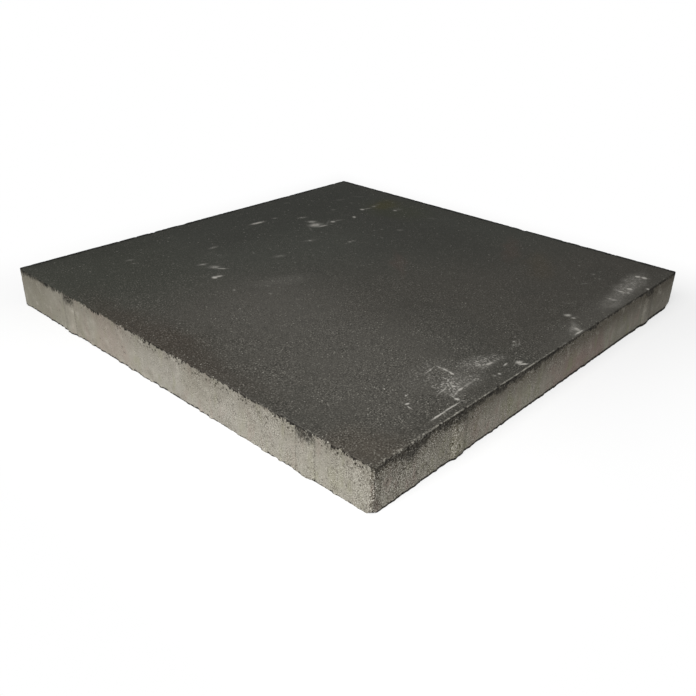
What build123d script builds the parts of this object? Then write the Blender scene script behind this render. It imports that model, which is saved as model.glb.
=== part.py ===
import os

from build123d import *

# Concrete paving slab, pressed as one piece, in millimetres.
# The origin is the centre of the bed face, +Z points up to the wearing face, X and Y run along the sides.

# Body
side_count = 4
slab_side = 598
slab_thickness = 50
corner_radius = 3
top_arris_radius = 1.2
bottom_arris_radius = 1

# Spacer nibs, two on each side. Going round the slab the first stands further from its corner than
# the second, so the nibs of two slabs laid side by side miss each other.
nib_projection = 2
nib_crest_width = 10
nib_flank_run = 7
nib_crest_radius = 12
nib_below_top_arris = 0.8
nib_slope_height = 9
nib_from_leading_corner = 119
nib_from_trailing_corner = 79
nib_root = 5

# Places worked out from those sizes
nib_base_width = nib_crest_width + 2 * nib_flank_run
nib_top = slab_thickness - top_arris_radius - nib_below_top_arris
side_face = slab_side / 2
leading_nib = nib_from_leading_corner - side_face
trailing_nib = side_face - nib_from_trailing_corner

# One nib on the front side, with its root in the body: sloped flanks in plan, and a top that slopes
# out of the side face so that the mould strips off it.
with BuildPart() as nib:
    with BuildSketch() as plan:
        with BuildLine():
            Polyline(
                (-nib_base_width / 2, nib_root),
                (-nib_base_width / 2, 0),
                (-nib_crest_width / 2, -nib_projection),
                (nib_crest_width / 2, -nib_projection),
                (nib_base_width / 2, 0),
                (nib_base_width / 2, nib_root),
                close=True,
            )
        make_face()
        fillet(plan.vertices().group_by(Axis.Y)[0], nib_crest_radius)
    extrude(amount=nib_top)
    with BuildSketch(Plane.YZ):
        with BuildLine():
            Polyline(
                (nib_root, 0),
                (-nib_projection, 0),
                (-nib_projection, nib_top - nib_slope_height),
                (0, nib_top),
                (nib_root, nib_top),
                close=True,
            )
        make_face()
    extrude(amount=nib_base_width, both=True, mode=Mode.INTERSECT)

# The slab: a square with rounded upright corners and worn arrises, and the nibs round its sides
with BuildPart() as slab:
    with BuildSketch():
        RectangleRounded(slab_side, slab_side, corner_radius)
    extrude(amount=slab_thickness)
    fillet(slab.faces().sort_by(Axis.Z)[-1].edges(), top_arris_radius)
    with PolarLocations(0, side_count):
        with Locations((leading_nib, -side_face), (trailing_nib, -side_face)):
            add(nib.part)
    fillet(slab.faces().sort_by(Axis.Z)[0].edges(), bottom_arris_radius)

slab.part.label = "slab"
os.makedirs("parts", exist_ok=True)
export_step(slab.part, "parts/slab.step")
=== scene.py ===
import math
import random
from types import SimpleNamespace

import bpy
import numpy as np
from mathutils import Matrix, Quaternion, Vector, noise


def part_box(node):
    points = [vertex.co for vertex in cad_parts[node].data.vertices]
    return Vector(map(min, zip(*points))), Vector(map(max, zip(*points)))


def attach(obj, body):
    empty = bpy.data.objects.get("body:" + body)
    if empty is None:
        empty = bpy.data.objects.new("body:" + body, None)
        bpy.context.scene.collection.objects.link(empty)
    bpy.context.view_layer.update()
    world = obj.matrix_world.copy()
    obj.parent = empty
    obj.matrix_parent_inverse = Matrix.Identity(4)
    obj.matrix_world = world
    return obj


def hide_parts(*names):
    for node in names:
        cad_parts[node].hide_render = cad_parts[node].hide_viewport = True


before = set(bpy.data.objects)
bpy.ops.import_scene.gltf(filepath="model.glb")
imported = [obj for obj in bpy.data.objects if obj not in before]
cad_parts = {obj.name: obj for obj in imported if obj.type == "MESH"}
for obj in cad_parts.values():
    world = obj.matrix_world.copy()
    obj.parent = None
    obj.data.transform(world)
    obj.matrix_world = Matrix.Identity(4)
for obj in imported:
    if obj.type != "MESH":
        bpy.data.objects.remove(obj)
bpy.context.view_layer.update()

# Sizes are in metres, in the slab's own frame: origin in the middle of the bed, +Z up.
# Sides are named front (-Y), right (+X), back (+Y) and left (-X), and counted in that order.
mm = 0.001
slab_low, slab_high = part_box("slab")
thickness = slab_high.z
nib_projection = 2 * mm
half_side = slab_high.x - nib_projection
corner_radius = 3 * mm
top_arris = 1.2 * mm
bed_arris = 0.4 * mm

# Spacer nibs, as placed on each side going counter-clockwise
nib_centres = (119 * mm - half_side, half_side - 79 * mm)
nib_crest = 10 * mm
nib_flank = 7 * mm
nib_top = thickness - 2 * mm
nib_slope = 9 * mm

# What pressing, stripping and handling leave: how far up from the bed burrs reach and how large they get,
# and the depths of fine relief; also how far up the painted shadow along the foot reaches at the left end,
# which is half as far as at the right end
burr_height = 4 * mm
left_burr_size = 3.0 * mm
burr_size = 1.8 * mm
foot_shadow_reach = 2.4 * mm
hollow_depth = 0.12 * mm
drag_depth = 0.06 * mm
grain_depth = 0.16 * mm

# Wear along the arrises: length of the teeth, usual depth of the bevel and depth of the chips
top_wear = (3.2 * mm, 0.75 * mm, 2.4 * mm)
bed_wear = (3.4 * mm, 0.5 * mm, 0.9 * mm)
upright_wear = (3.6 * mm, 1.3 * mm, 2.2 * mm)

# Corners knocked off: lengths lost along X, Y and Z
front_bed_loss = (8 * mm, 7 * mm, 6 * mm)
front_top_loss = (4.5 * mm, 4.5 * mm, 3.5 * mm)
right_bed_loss = (14 * mm, 11 * mm, 10 * mm)

# Mesh: columns along a side, and rows of the section that runs round the slab
side_count = 4
corner_columns = 4
straight_columns = 376
side_columns = straight_columns + 2 * corner_columns
arris_rows = 5
upper_rows = 10
middle_rows = 14
foot_rows = 9
upper_zone = 12 * mm
foot_zone = 7 * mm
face_shares = (1.0, 0.7, 0.45, 0.25, 0.1, 0.0)
bed_shares = (0.3, 1.0)
margin = 10 * mm
face_insets = (15 * mm, 22 * mm)
bed_insets = (15 * mm, 22 * mm, 34 * mm)

# The photo's width in pixels, and its camera, found from the slab's edges. The eye's place is in slab sides
# from the middle of the wearing face.
photo_width = 696
sensor_width = 36
view_lens = 39.63
eye_sides = Vector((-1.1363, -1.033, 0.6129))
view_direction = Vector((0.6528, 0.5992, -0.4634))
view_roll = math.radians(1.24)
eye = eye_sides * (2 * half_side) + Vector((0, 0, thickness))
eye_turn = view_direction.to_track_quat("-Z", "Y") @ Quaternion((0, 0, 1), view_roll)


class Field:
    """A value, vector or colour of a material. Python's operators on it add the nodes that work it out."""

    def __init__(self, tree, socket):
        self.tree = tree
        self.socket = socket

    def node(self, kind, settings=None, sockets=None, output=0):
        """Adds a node: its settings first, then the value or link of each socket."""
        made = self.tree.nodes.new(kind)
        for name, value in (settings or {}).items():
            setattr(made, name, value)
        for key, value in (sockets or {}).items():
            if isinstance(value, Field):
                self.tree.links.new(value.socket, made.inputs[key])
            else:
                made.inputs[key].default_value = value
        return Field(self.tree, made.outputs[output])

    def is_vector(self):
        return self.socket.type == "VECTOR"

    def maths(self, operation, first, second=0.0):
        kind = "ShaderNodeVectorMath" if self.is_vector() else "ShaderNodeMath"
        return self.node(kind, {"operation": operation}, {0: first, 1: second})

    def __add__(self, other):
        return self.maths("ADD", self, other)

    __radd__ = __add__

    def __sub__(self, other):
        return self.maths("SUBTRACT", self, other)

    def __rsub__(self, other):
        return self.maths("SUBTRACT", other, self)

    def __mul__(self, other):
        if self.is_vector() and not isinstance(other, tuple):
            return self.node("ShaderNodeVectorMath", {"operation": "SCALE"}, {0: self, "Scale": other})
        return self.maths("MULTIPLY", self, other)

    __rmul__ = __mul__

    def __abs__(self):
        return self.maths("ABSOLUTE", self)

    def most(self, other):
        return self.maths("MAXIMUM", self, other)

    def length(self):
        return self.node("ShaderNodeVectorMath", {"operation": "LENGTH"}, {0: self}, "Value")

    def axes(self):
        """The three parts of a vector."""
        parts = self.node("ShaderNodeSeparateXYZ", {}, {0: self})
        return [Field(self.tree, socket) for socket in parts.socket.node.outputs]

    def channels(self):
        """The three parts of a colour."""
        parts = self.node("ShaderNodeSeparateColor", {}, {0: self})
        return [Field(self.tree, socket) for socket in parts.socket.node.outputs]

    def rise(self, start, end, low=0.0, high=1.0):
        """Goes smoothly from low to high as the value goes from start to end."""
        sockets = {"Value": self, "From Min": start, "From Max": end, "To Min": low, "To Max": high}
        return self.node("ShaderNodeMapRange", {"interpolation_type": "SMOOTHSTEP"}, sockets)

    def noise(self, size, detail=2.0, roughness=0.5):
        """Noise from 0 to 1 with lumps about size across, over a place in millimetres."""
        sockets = {"Vector": self, "Scale": 1 / size, "Detail": detail, "Roughness": roughness}
        return self.node("ShaderNodeTexNoise", {}, sockets)

    def astray(self, size, reach):
        """The place moved about in plan by noise with lumps about size across, by up to about reach."""
        sockets = {"Vector": self, "Scale": 1 / size, "Detail": 3.0}
        drift = self.node("ShaderNodeTexNoise", {}, sockets, "Color").channels()
        steps = {axis: (2 * reach) * (part - 0.5) for axis, part in zip("XY", drift)}
        return self + self.node("ShaderNodeCombineXYZ", {}, steps)

    def specks(self, spacing, radius, share):
        """Round specks scattered through the place, about spacing apart: 1 inside a speck, 0 outside.
        Only a share of them shows."""
        away = self.node("ShaderNodeTexVoronoi", {}, {"Vector": self, "Scale": 1 / spacing}, "Distance")
        lot = Field(self.tree, away.socket.node.outputs["Color"]).channels()[0]
        return (away * spacing).rise(radius, 0.5 * radius) * lot.rise(share + 0.01, share - 0.01)

    def mix(self, first, second):
        """A colour between two, by this value."""
        settings = {"data_type": "RGBA", "blend_type": "MIX"}
        return self.node("ShaderNodeMix", settings, {0: self, 6: first, 7: second}, 2)

    def under(self, colour, share):
        """This colour with another laid over it by a share."""
        return share.mix(self, colour)


def paint(red, green, blue):
    """A colour as read from a screen, 0 to 255, in the linear values that a shader takes."""
    parts = [value / 255 for value in (red, green, blue)]
    return (*[p / 12.92 if p <= 0.04045 else ((p + 0.055) / 1.055) ** 2.4 for p in parts], 1.0)


# Form

def side_outline():
    """One side of the body, facing -Y, from the middle of one rounded corner to the middle of the next:
    its points and the outward direction at each."""
    straight = half_side - corner_radius
    points, outward = [], []
    for step in range(corner_columns):
        turn = math.radians(-135 + 45 * step / corner_columns)
        outward.append((math.cos(turn), math.sin(turn)))
        points.append((-straight, -straight))
    for step in range(straight_columns + 1):
        outward.append((0.0, -1.0))
        points.append((-straight + 2 * straight * step / straight_columns, -straight))
    for step in range(1, corner_columns):
        turn = math.radians(-90 + 45 * step / corner_columns)
        outward.append((math.cos(turn), math.sin(turn)))
        points.append((straight, -straight))
    outward = np.array(outward)
    return np.array(points) + corner_radius * outward, outward


def turned(points, side):
    """Points or directions of the side that faces -Y, turned on to another side."""
    angle = math.tau * side / side_count
    c, s = math.cos(angle), math.sin(angle)
    return np.asarray(points) @ np.array([[c, s], [-s, c]])


def all_round(points):
    """Points or directions of the side that faces -Y, repeated on the four sides, counter-clockwise."""
    return np.vstack([turned(points, side) for side in range(side_count)])


def square_ring(half, columns):
    """A square ring of points about the middle, with that many on each side."""
    along = np.linspace(-half, half, columns, endpoint=False)
    return all_round(np.stack([along, np.full(columns, -half)], axis=1))


def section_rows():
    """The section round the slab, from the flat of the wearing face to the flat of the bed. Each row is
    the distance in from the side, the height, the tilt of the direction in which wear moves it, and the
    share of the way to the flat. The bed arris wears with the side."""
    rows = [(top_arris, thickness, math.pi / 2, share) for share in face_shares]
    for step in range(1, arris_rows + 1):
        tilt = math.pi / 2 * (1 - step / arris_rows)
        drop = top_arris * (1 - math.sin(tilt))
        rows.append((top_arris * (1 - math.cos(tilt)), thickness - drop, tilt, 0.0))
    stops = (thickness - top_arris, thickness - upper_zone, foot_zone, bed_arris)
    for start, end, count in zip(stops, stops[1:], (upper_rows, middle_rows, foot_rows)):
        rows += [(0.0, height, 0.0, 0.0) for height in np.linspace(start, end, count + 1)[1:]]
    for step in range(1, arris_rows + 1):
        tilt = -math.pi / 2 * step / arris_rows
        rows.append((bed_arris * (1 - math.cos(tilt)), bed_arris * (1 + math.sin(tilt)), 0.0, 0.0))
    rows += [(bed_arris, 0.0, -math.pi / 2, share) for share in bed_shares]
    return rows


def nib_swell(along, height):
    """How far a nib stands out of the side at a place along it and a height."""
    plan = np.zeros_like(along)
    for centre in nib_centres:
        reach = (nib_crest / 2 + nib_flank - np.abs(along - centre)) / nib_flank
        plan = np.maximum(plan, nib_projection * np.clip(reach, 0, 1))
    slope = nib_projection * np.clip((nib_top - height) / nib_slope, 0, 1)
    return np.minimum(plan, slope)


def lumps(points, size, shift=0.0):
    """Smooth noise from -1 to 1 at each point, with lumps about size across."""
    return np.array([noise.noise(p) for p in (points / size + shift).tolist()])


def blowholes():
    """Holes that trapped air left in the sides: place, radius and depth of each. They gather under the top
    arris and towards the front corner, between the front and left sides."""
    draw = random.Random(4)
    holes = []

    def add(side, along, height, smallest, largest):
        radius = draw.uniform(smallest, largest) * mm
        middle = (*turned((along, -half_side), side), height)
        holes.append((middle, radius, draw.uniform(0.35, 0.65) * radius))

    for side in range(side_count):
        for _ in range(60):
            along = draw.uniform(-1, 1) * half_side
            add(side, along, draw.uniform(0.08, 0.95) ** 0.6 * thickness, 0.9, 1.9)
    for side, towards in ((0, -1), (3, 1)):
        for _ in range(60):
            along = towards * (half_side - draw.uniform(0, 1) ** 2 * 130 * mm)
            add(side, along, draw.uniform(0.04, 0.97) * thickness, 0.8, 1.6)
        for _ in range(40):
            along = towards * draw.uniform(-0.2, 1) * half_side
            add(side, along, thickness - draw.uniform(1.5, 9) * mm, 0.8, 1.7)
    add(0, -240 * mm, 13 * mm, 2.2, 2.4)
    return holes


def burrs(points):
    """How far burrs stand out of the side, along the edge of the bed. They are largest on the left side."""
    largest = np.where(points[:, 0] < margin - half_side, left_burr_size, burr_size)
    return largest * np.clip(lumps(points * (1, 1, 0), 6 * mm, 15.3) - 0.05, 0, 0.5)


def worn(points, normals):
    """The slab's points moved by what pressing, stripping and handling leave: a slight hollow, drag marks
    down the sides, the grain of the concrete, blowholes, and burrs at the bed. Also how deep each point lies
    in a hole, which the material paints as shade."""
    on_side = np.clip(1 - np.abs(normals[:, 2]), 0, 1)
    hollow = hollow_depth * (1 + lumps(points, 70 * mm))
    drag = drag_depth * (1 + lumps(points * (1, 1, 0.12), 4 * mm, 31.7))
    rough = grain_depth * (1 + lumps(points, 3.2 * mm, 77.1))
    proud = burrs(points) * np.clip(1 - points[:, 2] / burr_height, 0, 1)
    pitted = np.zeros(len(points))
    hole_shade = np.zeros(len(points))
    for middle, radius, deep in blowholes():
        away = np.linalg.norm(points - middle, axis=1) / radius
        share = np.clip(1 - away ** 2, 0, 1)
        pitted = np.maximum(pitted, deep * share)
        hole_shade = np.maximum(hole_shade, share)
    depth = hollow + on_side * (drag + rough + pitted - proud)
    return points - normals * depth[:, None], hole_shade


def beyond_bevel(points, edge, outward, depth):
    """How far each point lies beyond a bevel along an edge. Outward points away from the slab at the edge,
    and depth is how far in the bevel lies at each point."""
    return (points - edge) @ outward + depth


def cut_back(points, outward, beyond):
    """Points moved in to a bevel by as much as they lie beyond it."""
    return points - np.clip(beyond, 0, None)[:, None] * outward


def ragged(points, size, usual, deepest, shift):
    """Depth of the bevel along an arris: its usual depth with teeth about size long, and chips here and
    there."""
    teeth = lumps(points, size, shift) + 0.6 * lumps(points, 0.5 * size, shift + 9.7)
    chips = np.clip(lumps(points, 3.5 * size, shift + 5.5) - 0.2, 0, 1)
    return usual * (1 + 0.9 * teeth) + deepest * chips * (1 + 0.8 * teeth)


def broken_corner(points, corner, legs, rough, shift):
    """Points cut back where a corner is knocked off. Legs are the lengths lost along X, Y and Z."""
    inward = 1 / np.array(legs) * -np.sign(corner - np.array((0, 0, thickness / 2)))
    depth = 1 / np.linalg.norm(inward)
    outward = -inward * depth
    uneven = rough * (lumps(points, 4 * mm, shift) + 0.8 * lumps(points, 1.8 * mm, shift + 3.1))
    return cut_back(points, outward, beyond_bevel(points, np.array(corner), outward, depth + uneven))


def damaged(points, normals):
    """Arrises worn ragged all round, and the corners that are knocked off. Also how near each point lies to
    the
    foot of the slab: the edge of the bed, or the ground, where the material paints a shadow."""
    level = points * (1, 1, 0.2)
    top_depth = ragged(level, *top_wear, 3.3)
    foot_depth = ragged(level, *bed_wear, 41.9) - burrs(points) / math.sqrt(2)
    upright_depth = ragged(points, *upright_wear, 8.1)
    past_foot = np.where(normals[:, 2] > -0.5, -points[:, 2], -thickness)
    for side in range(side_count):
        across = turned((0.0, -1.0), side)
        swell = nib_swell(points[:, :2] @ turned((1.0, 0.0), side), 0.0)
        outward = np.array((*across, 1.0)) / math.sqrt(2)
        beyond = beyond_bevel(points, np.array((*across * half_side, thickness)), outward, top_depth)
        points = cut_back(points, outward, beyond)
        outward = np.array((*across, -1.0)) / math.sqrt(2)
        bed_depth = foot_depth - swell / math.sqrt(2)
        beyond = beyond_bevel(points, np.array((*across * half_side, 0.0)), outward, bed_depth)
        points = cut_back(points, outward, beyond)
        past_foot = np.maximum(past_foot, beyond)
        corner = turned((-1.0, -1.0), side)
        outward = np.array((*corner, 0.0)) / math.sqrt(2)
        beyond = beyond_bevel(points, np.array((*corner * half_side, 0.0)), outward, upright_depth)
        points = cut_back(points, outward, beyond)
    front = np.array((-half_side, -half_side, 0))
    right = np.array((half_side, -half_side, 0))
    rise = np.array((0, 0, thickness))
    points = broken_corner(points, front, front_bed_loss, 0.7 * mm, 1.2)
    points = broken_corner(points, front + rise, front_top_loss, 0.8 * mm, 2.6)
    points = broken_corner(points, right, right_bed_loss, 0.7 * mm, 4.7)
    from_left = (points[:, 0] + half_side) / (2 * half_side)
    reach = foot_shadow_reach * (1 + from_left)
    return points, np.clip(1 + past_foot / reach, 0, 1)


class Form:
    """Points, directions and faces of one closed mesh, as they are added."""

    def __init__(self):
        self.points = []
        self.normals = []
        self.faces = []

    def add(self, points, normals):
        """Adds points and returns their numbers."""
        start = len(self.points)
        self.points.extend(points)
        self.normals.extend(normals)
        return np.arange(start, start + len(points))

    def face(self, corners, up):
        """Adds a face by its corners, turned over where it looks down."""
        self.faces.append(corners if up else corners[::-1])

    def band(self, outer, inner, up):
        """Closes the ring between two rings of points where the inner one has half as many."""
        for i in range(len(inner)):
            a, b = int(inner[i]), int(inner[(i + 1) % len(inner)])
            first, middle, last = (int(outer[(2 * i + k) % len(outer)]) for k in range(3))
            self.face((a, first, middle), up)
            self.face((a, middle, b), up)
            self.face((b, middle, last), up)

    def flat(self, ring, half, height, up):
        """Fills a square ring with a grid of its own spacing."""
        count = len(ring) // side_count
        grid = np.zeros((count + 1, count + 1), int)
        grid[0, :count] = ring[:count]
        grid[:count, count] = ring[count:2 * count]
        grid[count, count:0:-1] = ring[2 * count:3 * count]
        grid[count:0:-1, 0] = ring[3 * count:]
        places = np.linspace(-half, half, count + 1)[1:-1]
        inner = [(x, y, height) for y in places for x in places]
        normal = (0.0, 0.0, 1.0 if up else -1.0)
        grid[1:-1, 1:-1] = self.add(inner, [normal] * len(inner)).reshape(count - 1, count - 1)
        for row in range(count):
            for column in range(count):
                a, b = int(grid[row, column]), int(grid[row, column + 1])
                c, d = int(grid[row + 1, column + 1]), int(grid[row + 1, column])
                self.face((a, b, c, d), up)


def slab_form():
    """The slab as one closed mesh: the section run round its sides, and the flats of its two faces."""
    form = Form()
    one_side, one_outward = side_outline()
    outline, outward = all_round(one_side), all_round(one_outward)
    along = np.tile(one_side[:, 0], side_count)
    inner = square_ring(half_side - margin, side_columns)
    count = len(outline)
    rings = []
    for inset, height, tilt, share in section_rows():
        swell = nib_swell(along, height) if height < nib_top else np.zeros(count)
        places = outline + outward * (swell - inset)[:, None]
        places = places + share * (inner - places)
        points = np.column_stack([places, np.full(count, height)])
        normals = np.column_stack([outward * math.cos(tilt), np.full(count, math.sin(tilt))])
        rings.append(form.add(points, normals))
    for upper, lower in zip(rings, rings[1:]):
        for c in range(count):
            n = (c + 1) % count
            form.face((int(upper[c]), int(lower[c]), int(lower[n]), int(upper[n])), True)
    flats = ((rings[0], thickness, face_insets, True), (rings[-1], 0.0, bed_insets, False))
    for ring, height, insets, up in flats:
        columns = side_columns
        for inset in insets:
            columns //= 2
            half = half_side - inset
            places = square_ring(half, columns)
            points = np.column_stack([places, np.full(len(places), height)])
            normals = np.tile((0.0, 0.0, 1.0 if up else -1.0), (len(places), 1))
            smaller = form.add(points, normals)
            form.band(ring, smaller, up)
            ring = smaller
        form.flat(ring, half, height, up)
    return form


def make_slab():
    """The worn slab. Its points carry how deep they lie in a hole and how near to the foot they are, for the
    painted shade in the holes and the painted shadow along the foot.
    """
    form = slab_form()
    normals = np.array(form.normals)
    points, hole_shade = worn(np.array(form.points), normals)
    points, foot = damaged(points, normals)
    points = np.clip(points, slab_low, slab_high)
    mesh = bpy.data.meshes.new("paving_slab")
    mesh.from_pydata(points.tolist(), [], form.faces)
    mesh.polygons.foreach_set("use_smooth", [True] * len(mesh.polygons))
    for name, values in (("hole_shade", hole_shade), ("foot", foot)):
        mesh.attributes.new(name, "FLOAT", "POINT").data.foreach_set("value", values)
    mesh.update()
    slab = bpy.data.objects.new("paving_slab", mesh)
    bpy.context.scene.collection.objects.link(slab)
    return slab


# Finish

# Pale lime and scuff marks on the wearing face, as strokes read from the photo: across and down in its
# pixels at one end and at the other, then half length and half width in millimetres, and strength
strokes = (
    (125, 260.7, 135, 259.4, 6, 3, 0.45),
    (131, 263.5, 136, 263.5, 3, 2, 0.35),
    (209, 249, 217.5, 246, 8, 3, 0.5),
    (197, 265.3, 208, 263.5, 7, 3, 0.6),
    (208, 267, 221, 267, 8, 6, 0.6),
    (215, 268.5, 229, 268.5, 9, 2, 0.7),
    (212, 277.6, 217, 277.2, 4, 4, 1.0),
    (214, 277, 223, 275.5, 7, 3, 0.8),
    (274, 256.8, 285, 255.2, 9, 4, 0.45),
    (250, 224.7, 264.5, 221.3, 14, 3.6, 0.85),
    (272, 218.7, 278, 217.6, 5, 3, 0.45),
    (298, 218, 306.5, 217, 8, 4, 0.5),
    (307.5, 221.7, 316.5, 221.7, 8, 6, 0.65),
    (308.5, 226, 321, 224.5, 10, 8, 0.65),
    (315, 224, 320, 224.6, 4, 3, 0.7),
    (317, 227, 328, 224.8, 11, 3, 0.7),
    (326, 225, 329.5, 220, 12, 2, 0.4),
    (309, 227, 312, 231, 9, 2, 0.35),
    (330.5, 222.2, 335, 221, 5, 4, 0.8),
    (333, 221.3, 343, 219.3, 9, 3, 0.45),
    (352.7, 217, 355.5, 217, 3, 5, 0.8),
    (360.5, 209.6, 364, 209.4, 4, 4, 0.9),
    (362, 209.4, 372, 207.8, 9, 3, 0.5),
    (372, 206.8, 376, 206, 4, 4, 0.6),
    (374, 206, 380, 203.8, 8, 2, 0.35),
    (394, 211, 396, 210, 3, 4, 0.7),
    (395, 209.4, 402, 209.4, 6, 5, 0.35),
    (303, 241.5, 316.5, 239.5, 10, 4, 0.35),
    (308, 240.7, 312.5, 240.3, 4, 3, 0.6),
    (348, 242, 351.5, 241.3, 4, 3, 0.55),
    (352, 241, 355, 240.5, 3, 3, 0.5),
    (397, 230, 402.5, 230, 5, 4, 0.4),
    (428, 218.3, 434, 218.3, 6, 4, 0.2),
    (336, 200.3, 345, 199, 9, 4, 0.25),
    (352, 196.4, 365, 196.6, 12, 3, 0.2),
    (284, 203.6, 288.5, 202.3, 5, 3, 0.25),
    (332.3, 209.7, 334.3, 209.3, 3, 4, 0.4),
    (350.3, 203, 352.3, 202.5, 3, 3, 0.3),
    (381, 229.2, 383, 229.2, 2, 3, 0.4),
    (381, 237.6, 383, 237.6, 2, 3, 0.4),
    (233, 290, 235.5, 290, 2, 3, 0.5),
    (252.8, 251.5, 254, 254, 5, 1.5, 0.4),
    (266, 285.5, 269, 286, 3, 2, 0.4),
    (268, 293.5, 272.5, 293, 3, 2.5, 0.45),
    (435, 365.2, 443, 368.8, 6, 1.4, 0.7),
    (441, 368, 450, 371.6, 6, 1.5, 0.9),
    (448, 370.8, 454.5, 375, 5, 1.5, 1.0),
    (426, 373.3, 432.5, 367.8, 9, 1.1, 0.7),
    (436, 363.5, 440, 360.7, 4, 1, 0.35),
    (431.5, 420.2, 446, 410.6, 12, 1.2, 1.0),
    (442, 413, 461, 401.3, 14, 1.1, 0.9),
    (453.5, 398, 460.5, 400, 3, 2.2, 1.0),
    (449.5, 394.5, 456, 398.5, 5, 1.3, 0.7),
    (459, 400, 467, 401.3, 4, 1.4, 0.5),
    (456.5, 391.5, 464, 386.5, 6, 1.7, 0.9),
    (452.5, 397, 458.5, 390.5, 7, 1, 0.7),
    (462, 387.5, 474, 380.5, 10, 1.5, 0.6),
    (451, 385.5, 455.5, 386.7, 3, 1.8, 0.9),
    (449.5, 381.5, 452.5, 385.5, 4, 1.1, 0.7),
    (456.5, 386.5, 460, 386, 3, 1.3, 0.6),
    (437.5, 394.6, 447.5, 386, 11, 1, 0.75),
    (485, 365.5, 494, 361.5, 7, 2, 0.8),
    (479, 370.5, 487, 366, 7, 1.2, 0.45),
    (503.5, 366.3, 507.5, 362.7, 5, 1.4, 0.8),
    (497.5, 374, 501, 373.3, 2, 2, 0.8),
    (491.5, 375, 497.5, 376.2, 3, 1.8, 0.6),
    (515, 363, 523, 361.5, 5, 3.4, 0.9),
    (519, 364.3, 528, 363.8, 6, 1.8, 1.0),
    (405.5, 404.3, 409, 403.3, 2.6, 1.4, 1.0),
    (406.5, 405.5, 412, 409, 4, 1, 0.7),
    (405, 395.5, 407.5, 395.5, 1.7, 1.4, 0.8),
    (513, 342, 515.5, 341, 2, 1.8, 0.7),
    (511.5, 345.3, 514.5, 344.6, 2, 1.7, 0.6),
    (514.3, 337.5, 515.8, 336.5, 2, 1.4, 0.5),
    (565, 315.5, 571, 315, 5, 4, 0.75),
    (571, 317.8, 576, 318.2, 3, 2.5, 0.7),
    (575, 316.5, 578.5, 317.3, 3, 1.9, 0.4),
    (574.5, 335, 584, 329.5, 10, 1.6, 0.9),
    (575, 327.5, 580, 331.5, 6, 3, 0.7),
    (563, 343, 566, 343, 3, 1.8, 0.5),
    (547, 329.5, 549, 329.5, 1.6, 1.6, 0.45),
    (605, 317, 607, 316.5, 3, 1.4, 0.4),
    (608, 298, 613, 299.5, 4, 2.6, 0.65),
    (612, 300, 616, 300, 5, 2.8, 0.65),
    (617, 290.5, 625, 292.5, 6, 2.6, 0.75),
    (627, 293, 629, 292.5, 3, 2.8, 0.65),
    (627.5, 288.5, 631.5, 289.5, 4, 3.2, 0.95),
    (620, 284, 622, 285.5, 3, 2.4, 0.5),
    (634, 285.5, 635.5, 285.5, 2, 2.2, 0.45),
    (647, 289, 649, 289, 3, 3, 0.85),
    (636, 276.6, 639.5, 276.8, 4, 3.2, 1.0),
    (643, 277.5, 645.5, 278.5, 4, 3.8, 1.0),
    (645.5, 280, 646, 284.5, 8, 1, 0.35),
    (648, 278.7, 650.5, 278.7, 2, 2.3, 0.45),
    (580.5, 284, 589, 283, 7, 1.7, 0.4),
    (599.5, 286, 604, 288.5, 5, 1.3, 0.35),
    (598.5, 278.5, 600.5, 279, 2, 2.5, 0.45),
    (592, 274, 595, 274.5, 2.5, 2.9, 0.45),
    (561, 302.5, 570, 303.5, 7, 1.7, 0.25),
    (554, 294.5, 559, 297.5, 5, 1.2, 0.25),
    (578.5, 265.5, 580, 265.5, 1.8, 2.2, 0.45),
    (602, 259, 606, 259, 4, 2.1, 0.25),
)

# Scuffs on the wearing face that show as many pale specks, and veils of lime. Places and sizes are in
# millimetres: middle along X and Y, half length, half width, turn in degrees from +X, and strength.
scuffs = (
    (-95, -256, 26, 15, -15, 0.7),
    (-78, -262, 20, 10, -20, 0.6),
    (-148, -262, 26, 20, 20, 0.8),
    (-125, -272, 26, 10, 0, 0.5),
    (-150, -235, 40, 20, 0, 0.35),
    (205, -278, 60, 14, 6, 0.4),
    (-92, 162, 14, 8, -60, 0.25),
    (-30, -262, 14, 6, 20, 0.5),
)
veils = (
    (-95, -258, 28, 14, -15, 0.1),
    (-140, -266, 34, 18, 10, 0.12),
    (205, -277, 62, 16, 8, 0.25),
    (150, -285, 40, 14, 4, 0.18),
    (92, 160, 16, 11, -30, 0.3),
    (48, -288, 22, 8, 25, 0.3),
    (-86, 35, 45, 18, -20, 0.06),
)

# Broad changes of colour on the wearing face and on the sides, in the same form, with a colour before the
# strength. Those on the wearing face are partly painted light, lighter towards the front corner and darker
# away from it, and partly the concrete's own tones
face_tints_and_light = (
    (-175, -190, 150, 160, 0, (76, 74, 69), 0.8),
    (-150, -30, 120, 140, 0, (77, 75, 70), 0.75),
    (-190, -292, 110, 25, 0, (60, 58, 53), 0.5),
    (-292, 30, 42, 230, 0, (57, 52, 46), 1.0),
    (-285, -280, 60, 45, -45, (74, 68, 60), 0.6),
    (-240, 240, 200, 200, 0, (51, 52, 46), 0.85),
    (-130, 295, 240, 60, 0, (44, 45, 40), 0.6),
    (-40, 200, 80, 60, 0, (49, 49, 45), 0.5),
    (120, 250, 300, 160, 0, (48, 49, 45), 0.75),
    (170, 30, 110, 200, 0, (52, 52, 48), 0.7),
    (235, 130, 60, 80, 0, (52, 54, 41), 0.5),
    (243, 152, 34, 26, -30, (60, 58, 37), 0.85),
    (60, -25, 60, 10, 48, (72, 62, 57), 0.45),
    (215, -105, 70, 12, 32, (72, 62, 56), 0.45),
    (190, -160, 60, 25, 30, (70, 64, 53), 0.45),
    (110, -290, 200, 34, 0, (77, 75, 70), 0.65),
    (300, 90, 50, 260, 0, (51, 51, 46), 0.55),
)
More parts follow.
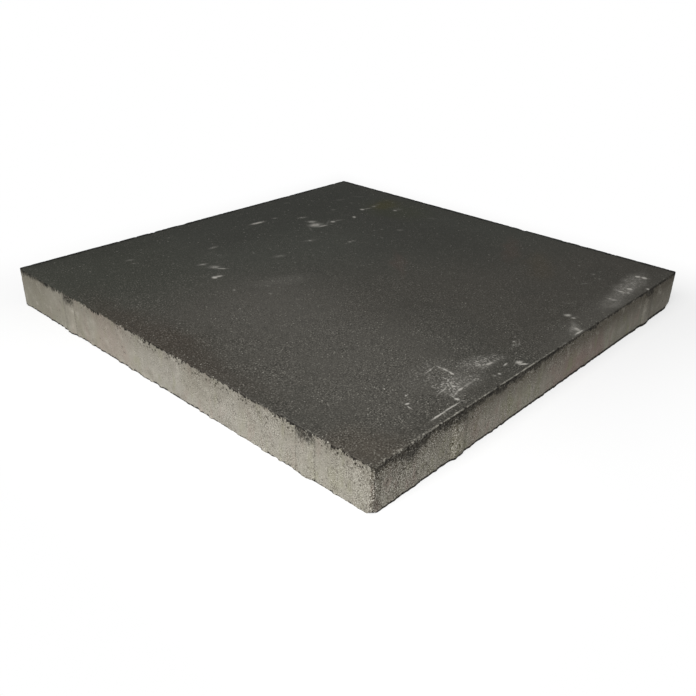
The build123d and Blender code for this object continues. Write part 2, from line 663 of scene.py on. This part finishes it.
side_tints = (
    (-299, 110, 10, 80, 0, (144, 133, 123), 0.7),
    (-299, 270, 10, 110, 0, (127, 124, 112), 0.7),
    (-299, -280, 10, 70, 0, (140, 136, 126), 0.6),
    (-299, -80, 10, 190, 0, (149, 145, 137), 0.6),
    (-180, -299, 22, 10, 0, (140, 134, 114), 0.5),
    (-155, -299, 13, 10, 0, (136, 121, 113), 0.7),
    (-108, -299, 14, 10, 0, (138, 126, 117), 0.5),
    (-78, -299, 18, 10, 0, (134, 130, 110), 0.6),
    (50, -299, 90, 10, 0, (138, 124, 116), 1.0),
    (35, -299, 30, 10, 0, (148, 129, 121), 0.6),
    (95, -299, 20, 10, 0, (132, 116, 109), 0.6),
    (230, -299, 130, 10, 0, (124, 120, 110), 0.8),
    (205, -299, 26, 10, 0, (140, 137, 127), 0.6),
)


def on_face(across, down):
    """The place on the wearing face, along X and Y in millimetres, that a pixel of the photo shows."""
    middle = photo_width / 2
    distance = photo_width * view_lens / sensor_width
    ray = eye_turn @ Vector((across - middle, middle - down, -distance))
    return (eye + ray * ((thickness - eye.z) / ray.z)).xy / mm


def marks():
    """The strokes as ellipses on the wearing face."""
    for start_across, start_down, end_across, end_down, half_length, half_width, strength in strokes:
        start, end = on_face(start_across, start_down), on_face(end_across, end_down)
        middle, along = (start + end) / 2, end - start
        turn = math.degrees(math.atan2(along.y, along.x))
        yield middle.x, middle.y, half_length, half_width, turn, strength


def ellipses(place, shapes):
    """For each shape, how far a place lies from its middle, where 1 is its outline."""
    for x, y, half_length, half_width, turn, *finish in shapes:
        offset = place - (x, y, 0.0)
        if turn:
            sockets = {"Vector": offset, "Angle": -math.radians(turn)}
            offset = offset.node("ShaderNodeVectorRotate", {"rotation_type": "Z_AXIS"}, sockets)
        yield (offset * (1 / half_length, 1 / half_width, 0.0)).length(), finish


def tinted(colour, place, tints):
    """A colour with broad soft tints laid over it."""
    loose = place.astray(60.0, 25.0)
    for away, (tint, strength) in ellipses(loose, tints):
        colour = colour.under(paint(*tint), away.rise(1.1, 0.2, 0.0, strength))
    return colour


def strongest(place, shapes, outer, inner):
    """The strongest of many marks at a place. A mark fades in from outer to inner, where 1 is its
    outline."""
    cover = None
    for away, (strength,) in ellipses(place, shapes):
        mark = away.rise(outer, inner, 0.0, strength)
        cover = mark if cover is None else cover.most(mark)
    return cover


def lime(place):
    """How much pale lime lies at a place on the wearing face: streaks, scuffs that show as specks, and
    veils."""
    streaks = strongest(place.astray(5.0, 1.2), marks(), 1.6, 0.2)
    drifted = place.astray(20.0, 8.0)
    scuffed = strongest(drifted, scuffs, 1.2, 0.2)
    veiled = strongest(drifted, veils, 1.2, 0.2)
    grain = place.noise(2.4, 3.0, 0.75)
    broken = (streaks + 1.2 * grain).rise(0.9, 1.4, 0.25, 1.0)
    mottled = place.noise(7.0, 3.0, 0.7).rise(0.35, 0.65, 0.45, 1.1)
    return (streaks * broken).most(scuffed * grain.rise(0.52, 0.62)) + veiled * mottled


def surface(place):
    """Where a point of the surface lies, in millimetres: how far below the wearing face, how far in from the
    nearest side, on which side, how far along it counter-clockwise from its middle, how far from the front
    corner, how far past the right and back sides, and how near to the half that is browner."""
    x, y, z = place.axes()
    half = half_side / mm
    front, back = y.rise(4 - half, 2.5 - half), y.rise(half - 4, half - 2.5)
    left, right = x.rise(4 - half, 2.5 - half), x.rise(half - 4, half - 2.5)
    return SimpleNamespace(
        below=thickness / mm - z,
        inset=(half - abs(x).most(abs(y))).most(0.0),
        front=front,
        right=right,
        back=back,
        left=left,
        along=x * front + y * right - x * back - y * left,
        corner=((place + (half, half, 0.0)) * (1.0, 1.0, 0.0)).length(),
        far=x.most(y) - half,
        brown=(0.5 * x + y).rise(120, -120),
    )


def wearing_face(place, where):
    """Colour of the dark facing: sandy, with lime marks, painted shade along its right and back edges, and
    painted shade just under the arris, where the torn facing overhangs.
    """
    cloud = place.noise(120.0, 3.0, 0.55)
    mottle = place.noise(9.0, 4.0, 0.65)
    grit = place.noise(1.5, 2.0, 0.5)
    near = where.corner.rise(660, 60, 0.32, 1.0) * place.noise(35.0, 2.0).rise(0.35, 0.65, 0.65, 1.15)
    tone = where.brown.mix(paint(60, 61, 56), paint(63, 61, 56))
    tone = tone.under(paint(54, 54, 50), cloud.rise(0.55, 0.3, 0.0, 0.5))
    # Tints that are partly painted light: lighter towards the front corner and darker away from it
    tone = tinted(tone, place, face_tints_and_light)
    tone = tone.under(paint(46, 46, 42), mottle.rise(0.5, 0.8, 0.0, 0.45))
    tone = tone.under(paint(80, 79, 73), mottle.rise(0.45, 0.2, 0.0, 0.4))
    tone = tone.under(paint(30, 29, 26), grit.rise(0.5, 0.25) * near * 0.9)
    tone = tone.under(paint(128, 125, 117), grit.rise(0.52, 0.78) * near * 0.9)
    tone = tone.under(paint(164, 161, 152), place.specks(4.0, 0.8, 0.25) * near * 0.75)
    dust = place.specks(9.0, 1.5, 0.3) * where.corner.rise(260, 480, 0.0, 0.3)
    tone = tone.under(paint(150, 148, 140), dust)
    tone = tone.under(paint(168, 165, 158), lime(place))
    # Painted shade along the right and back edges of the wearing face, frayed at its inner edge
    frayed = place.noise(14.0, 4.0, 0.7)
    far_rim_shade = (where.far - 16.0 * frayed).rise(-17.5, -12.0, 0.0, 0.85)
    tone = tone.under(paint(14, 14, 12), far_rim_shade)
    # Painted shade just under the top arris, where the torn facing overhangs the side
    return tone.under(paint(24, 22, 19), where.below.rise(0.4, 1.4, 0.0, 0.85))


def pressed_body(place, where):
    """Colour of the pale body: drag streaks, aggregate, sand grains and pores, coarser near the front
    corner, with painted shade in small holes and in the creases beside the nibs."""
    streaks = (place * (1.0, 1.0, 0.05)).noise(5.0, 3.0, 0.6)
    hue = (place * (1.0, 1.0, 0.4)).noise(15.0, 3.0, 0.65)
    hued = (0.35 + 0.4 * where.front) * where.corner.rise(640, 380, 0.45, 1.0)
    stain = place.noise(70.0, 2.0)
    patches = place.noise(13.0, 3.0, 0.6)
    grit = place.noise(2.0, 3.0, 0.7)
    sand = place.noise(1.2, 2.0, 0.5)
    coarser = 1.08 + where.front * where.corner.rise(170, 40, 0.35, 1.5)
    coarse = where.corner.rise(540, 40, 0.2, 1.0) * coarser
    coarse = coarse * place.noise(18.0, 2.0).rise(0.35, 0.62, 0.45, 1.2)
    dragged = 0.3 + 0.7 * where.front
    pale = 0.5 + dragged * streaks.rise(0.3, 0.7, -0.5, 0.5)
    body = pale.mix(paint(139, 135, 123), paint(155, 151, 140))
    body = tinted(body, place, side_tints)
    body = body.under(paint(146, 131, 122), hue.rise(0.52, 0.68) * hued)
    body = body.under(paint(134, 133, 108), hue.rise(0.48, 0.32) * hued)
    body = body.under(paint(122, 117, 104), stain.rise(0.5, 0.75, 0.0, 0.4))
    veil = where.below.rise(40, -4, 0.0, 0.5) * (1.0 + where.front * where.along.rise(-80, 40, 1.15, 1.5))
    body = body.under(paint(96, 91, 81), veil)
    body = body.under(paint(166, 162, 151), patches.rise(0.52, 0.72, 0.0, 0.4))
    body = body.under(paint(116, 111, 100), patches.rise(0.48, 0.28, 0.0, 0.4))
    body = body.under(paint(60, 55, 46), sand.rise(0.48, 0.24) * coarse)
    body = body.under(paint(196, 192, 182), sand.rise(0.52, 0.78) * coarse * (0.75 + 0.25 * where.front))
    gather = where.corner.rise(190, 20, 0.0, 0.4).most(where.below.rise(20, 3, 0.0, 0.7))
    gather = gather + where.front * where.corner.rise(170, 40, 0.0, 0.6)
    gather = gather + where.corner.rise(16, 4, 0.0, 0.8) * where.below.rise(20, 42)
    sunk = grit + 0.25 * patches - 0.12 * gather
    body = body.under(paint(66, 61, 51), sunk.rise(0.48, 0.36, 0.0, 0.75))
    # Painted shade in the creases where the flanks of the nibs meet the side
    for centre in nib_centres:
        crease_shade = abs(abs(where.along - centre / mm) - (nib_crest / 2 + nib_flank) / mm).rise(1.4, 0.3)
        body = body.under(paint(70, 66, 56), crease_shade * grit.rise(0.42, 0.58) * 0.6)
    # Painted shade in small pits towards the front corner, most of them under the arris
    pit_shade = place.specks(4.0, 1.4, 0.5) * where.corner.rise(430, 340) * where.below.rise(13, 6, 0.12, 1.0)
    body = body.under(paint(36, 33, 27), pit_shade)
    return body.under(paint(62, 57, 48), place.specks(6.0, 0.9, 0.3) * 0.4)


def facing_cover(place, where):
    """How much of the dark facing covers a place: all of the wearing face, ragged teeth under the arris,
    and thin slurry that was dragged down the sides and left on the tops of the nibs."""
    teeth = (place * (1.0, 1.0, 0.5)).noise(3.2, 3.0, 0.65).rise(0.35, 0.72)
    bites = place.noise(17.0, 2.0).rise(0.35, 0.65, 0.3, 1.6)
    torn = (where.below - 0.6 - 4.0 * teeth * bites).rise(0.4, -0.4)
    drips = (place * (1.0, 1.0, 0.2)).noise(4.0, 3.0, 0.7) - 0.5
    ragged = place.noise(3.0, 3.0, 0.7) - 0.5
    sieve = place.noise(2.2, 3.0, 0.7).rise(0.34, 0.56, 0.35, 1.0)
    patches = (place * (1.0, 1.0, 0.0)).noise(30.0, 2.0).rise(0.35, 0.65, 0.2, 1.3)
    far_left = where.left * where.along.rise(-150, -230)
    front = where.front * where.along.rise(60, -100, 3.0, 8.0)
    drag = front + where.right * 5.0 + where.back * 3.0 + far_left * 5.0
    stained = where.front * abs(where.along + 245.0).rise(30.0, 8.0, 0.0, 7.0)
    reach = 1.4 + drag * patches + stained
    slurry = (where.below + 12.0 * drips + 6.0 * ragged).rise(1.3 * reach, 0.6 * reach, 0.0, 0.85)
    cover = torn.most(slurry * sieve)
    for centre in nib_centres:
        beside = abs(where.along - centre / mm) + 16.0 * ragged
        smear = beside.rise(15.0, 7.0) * (where.below + 14.0 * drips + 8.0 * ragged).rise(16.0, 5.0)
        cover = cover.most(smear * sieve * 0.95)
    return cover


def rubbed_arris_and_highlight(place, where):
    """How much of the top arris is pale: broken lines on the front side, which are a painted highlight, and
    crumbs on the front side and specks where it is rubbed.
    """
    edge = where.below + where.inset
    dashes = place.noise(6.0, 3.0, 0.65).rise(0.38, 0.6, 0.15, 1.0)
    stretch = where.along.rise(20, -40) * where.along.rise(-240, -205, 0.15, 1.0)
    # A painted highlight in broken lines along the front arris
    lines = where.front * stretch * dashes * edge.rise(2.2, 1.2) * where.below.rise(0.8, 0.3) * 0.75
    crumbled = where.front * where.along.rise(-205, -235) * edge.rise(4.0, 1.5)
    crumbs = crumbled * place.noise(2.6, 3.0, 0.7).rise(0.5, 0.6, 0.0, 0.65)
    return lines.most(crumbs).most(place.specks(6.0, 1.2, 0.35) * edge.rise(3.0, 1.5) * 0.9)


def concrete():
    """Pressed concrete: a dark facing on top, torn and dragged at the arris, and a pale sandy body below."""
    material = bpy.data.materials.new("pressed_concrete")
    material.use_nodes = True
    tree = material.node_tree
    shader = tree.nodes["Principled BSDF"]
    start = tree.nodes.new("ShaderNodeTexCoord")
    place = Field(tree, start.outputs["Object"]) * (1 / mm)
    where = surface(place)
    hole_shade = place.node("ShaderNodeAttribute", {"attribute_name": "hole_shade"}, {}, "Fac")
    # How near the foot, for a painted shadow along the foot of the sides: uneven, and broken by gaps on part
    # of the left side
    foot = place.node("ShaderNodeAttribute", {"attribute_name": "foot"}, {}, "Fac")
    uneven = place.noise(6.0, 3.0, 0.7).rise(0.34, 0.58, 0.35, 1.0).most(0.9 * where.front)
    gaps = place.noise(3.6, 3.0, 0.7).rise(0.58, 0.46, 0.0, 0.9)
    foot = foot * uneven * (1 - where.left * where.along.rise(40, 160, 0.1, 1.0) * gaps)
    colour = facing_cover(place, where).mix(pressed_body(place, where), wearing_face(place, where))
    # Crumbs and specks where the top arris is rubbed, and a painted highlight along the front arris
    colour = colour.under(paint(160, 156, 146), rubbed_arris_and_highlight(place, where))
    # Painted shade in the blowholes
    colour = colour.under(paint(48, 44, 37), hole_shade.rise(0.2, 0.9, 0.0, 0.75))
    # Painted shade down the right and left upright corners, broken into spots
    upright_shade = where.front * where.right + where.back * where.left
    spotty = place.noise(4.0, 3.0, 0.7).rise(0.36, 0.62, 0.0, 0.8)
    colour = colour.under(paint(30, 28, 24), upright_shade * spotty)
    # Painted shadow along the foot of the sides
    colour = colour.under(paint(26, 24, 20), foot.rise(0.25, 0.58, 0.0, 0.95))
    tree.links.new(colour.socket, shader.inputs["Base Color"])
    sand = place.noise(1.4, 2.0, 0.7)
    rough = 0.85 + 0.15 * sand
    tree.links.new(rough.socket, shader.inputs["Roughness"])
    relief = 0.7 * sand + place.noise(4.0, 3.0) - 0.8 * place.specks(3.0, 1.0, 0.5)
    bump = place.node("ShaderNodeBump", {}, {"Strength": 0.6, "Distance": 0.5 * mm, "Height": relief})
    tree.links.new(bump.socket, shader.inputs["Normal"])
    shader.inputs["Specular IOR Level"].default_value = 0.12
    return material


# Studio

lamp_place = Vector((-1.1, -0.46, 0.9))
lamp_power = 25
lamp_size = 1.0
ambient_strength = 0.28
floor_half = 6.0
floor_shade = 0.5
floor_shade_seen = 0.95
shadow_reach = 0.2
shadow_white = 0.62


def make_camera():
    """The camera of the photo."""
    data = bpy.data.cameras.new("camera")
    data.lens = view_lens
    data.sensor_width = sensor_width
    camera = bpy.data.objects.new("camera", data)
    camera.location = eye
    camera.rotation_mode = "QUATERNION"
    camera.rotation_quaternion = eye_turn
    bpy.context.scene.collection.objects.link(camera)
    bpy.context.scene.camera = camera


def seen(tree):
    """1 for what the camera sees straight or by a mirror or glass, 0 for light that falls on things."""
    path = tree.nodes.new("ShaderNodeLightPath")
    names = ("Is Camera Ray", "Is Glossy Ray", "Is Transmission Ray")
    straight, mirrored, through = (Field(tree, path.outputs[name]) for name in names)
    return straight.most(mirrored).most(through)


def make_floor():
    """A pale floor that shows white, with the slab's soft shadow kept close round it."""
    mesh = bpy.data.meshes.new("floor")
    corners = [(x * floor_half, y * floor_half, 0) for x, y in ((-1, -1), (1, -1), (1, 1), (-1, 1))]
    mesh.from_pydata(corners, [], [(0, 1, 2, 3)])
    floor = bpy.data.objects.new("floor", mesh)
    bpy.context.scene.collection.objects.link(floor)
    material = bpy.data.materials.new("pale_floor")
    material.use_nodes = True
    tree = material.node_tree
    shader = tree.nodes["Principled BSDF"]
    shade = seen(tree).mix((*[floor_shade] * 3, 1), (*[floor_shade_seen] * 3, 1))
    tree.links.new(shade.socket, shader.inputs["Base Color"])
    shader.inputs["Roughness"].default_value = 1.0
    shader.inputs["Specular IOR Level"].default_value = 0.0
    glow = tree.nodes.new("ShaderNodeEmission")
    start = tree.nodes.new("ShaderNodeTexCoord")
    x, y, _ = Field(tree, start.outputs["Object"]).axes()
    away = abs(x).most(abs(y)) - half_side
    white = away.rise(0.0, shadow_reach, shadow_white, 1.0) * seen(tree)
    blend = tree.nodes.new("ShaderNodeMixShader")
    tree.links.new(white.socket, blend.inputs[0])
    tree.links.new(shader.outputs[0], blend.inputs[1])
    tree.links.new(glow.outputs[0], blend.inputs[2])
    tree.links.new(blend.outputs[0], tree.nodes["Material Output"].inputs["Surface"])
    mesh.materials.append(material)


def make_light():
    """Soft daylight all round, and a large soft lamp at the left front."""
    world = bpy.data.worlds.new("studio")
    bpy.context.scene.world = world
    world.use_nodes = True
    tree = world.node_tree
    ambient = tree.nodes["Background"]
    ambient.inputs["Color"].default_value = (1, 1, 1, 1)
    ambient.inputs["Strength"].default_value = ambient_strength
    backdrop = tree.nodes.new("ShaderNodeBackground")
    backdrop.inputs["Color"].default_value = (1, 1, 1, 1)
    blend = tree.nodes.new("ShaderNodeMixShader")
    tree.links.new(seen(tree).socket, blend.inputs[0])
    tree.links.new(ambient.outputs[0], blend.inputs[1])
    tree.links.new(backdrop.outputs[0], blend.inputs[2])
    tree.links.new(blend.outputs[0], tree.nodes["World Output"].inputs["Surface"])
    data = bpy.data.lights.new("softbox", "AREA")
    data.energy = lamp_power
    data.size = lamp_size
    lamp = bpy.data.objects.new("softbox", data)
    lamp.location = lamp_place
    lamp.rotation_mode = "QUATERNION"
    lamp.rotation_quaternion = (-lamp_place).to_track_quat("-Z", "Y")
    bpy.context.scene.collection.objects.link(lamp)


slab = make_slab()
slab.data.materials.append(concrete())
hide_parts("slab")
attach(slab, "root")
make_camera()
make_floor()
make_light()
bpy.context.scene.view_settings.view_transform = "Standard"
